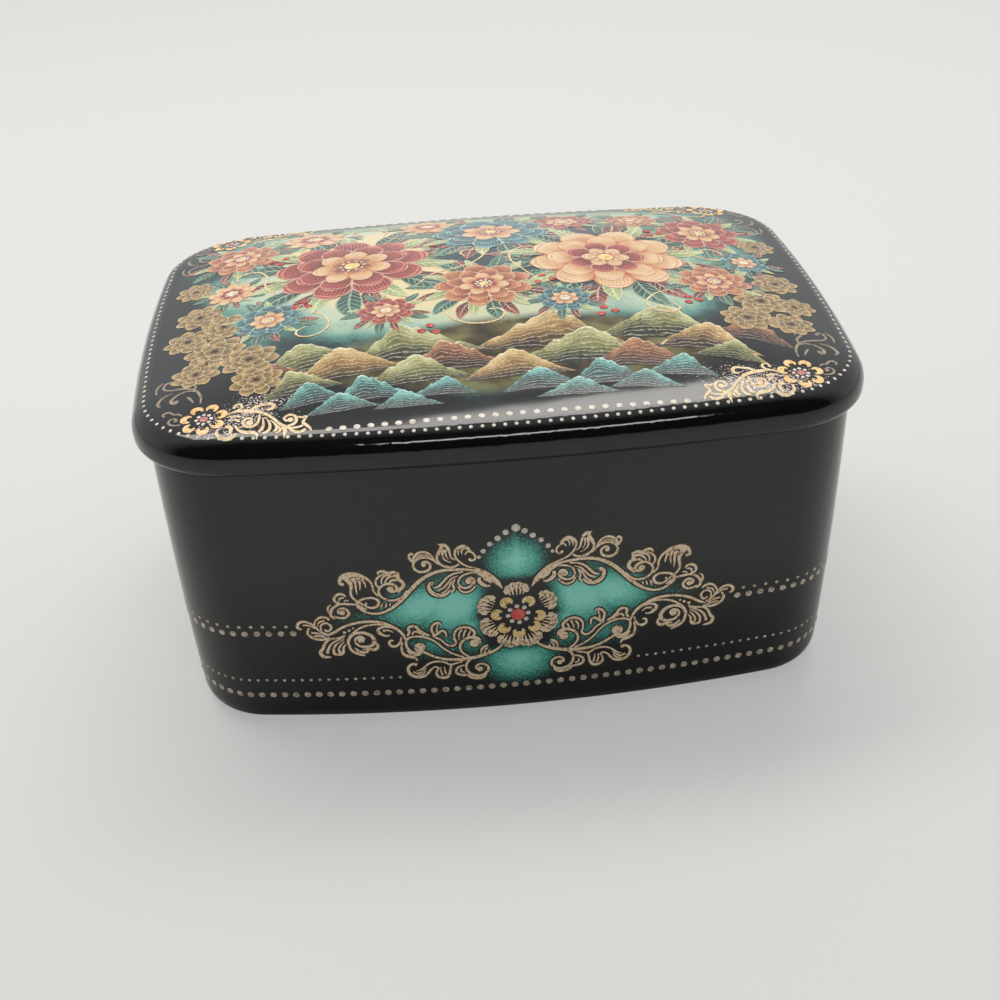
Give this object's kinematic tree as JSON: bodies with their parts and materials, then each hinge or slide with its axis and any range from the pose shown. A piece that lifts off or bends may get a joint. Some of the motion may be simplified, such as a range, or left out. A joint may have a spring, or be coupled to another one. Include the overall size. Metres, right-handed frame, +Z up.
{
  "type": "lidded trinket box",
  "caption": "Low oblong porcelain trinket box with bowed, drafted walls and rounded corners, and an overhanging domed lid that lifts off. Black glaze with gold and teal ornament.",
  "frame": {"origin": "middle of the foot, on the surface that the box stands on", "axes": "+X along the box, +Z up, -Y towards the decorated front"},
  "size_m": [0.12, 0.09, 0.0632],
  "materials": {
    "black_glaze": "thick glossy black glaze with fired gold and teal ornament, white glaze inside, bare white rim and foot",
    "black_glaze_lid": "thick glossy black glaze with a painted panel, white glaze inside, bare white seat and ring"
  },
  "bodies": {
    "box": {"box": "black_glaze"},
    "lid": {"lid": "black_glaze_lid"}
  },
  "joints": [
    {"name": "lid_lift", "type": "slide", "parent": "box", "child": "lid", "axis": [0, 0, 1], "range_m": [0, 0.06]}
  ]
}
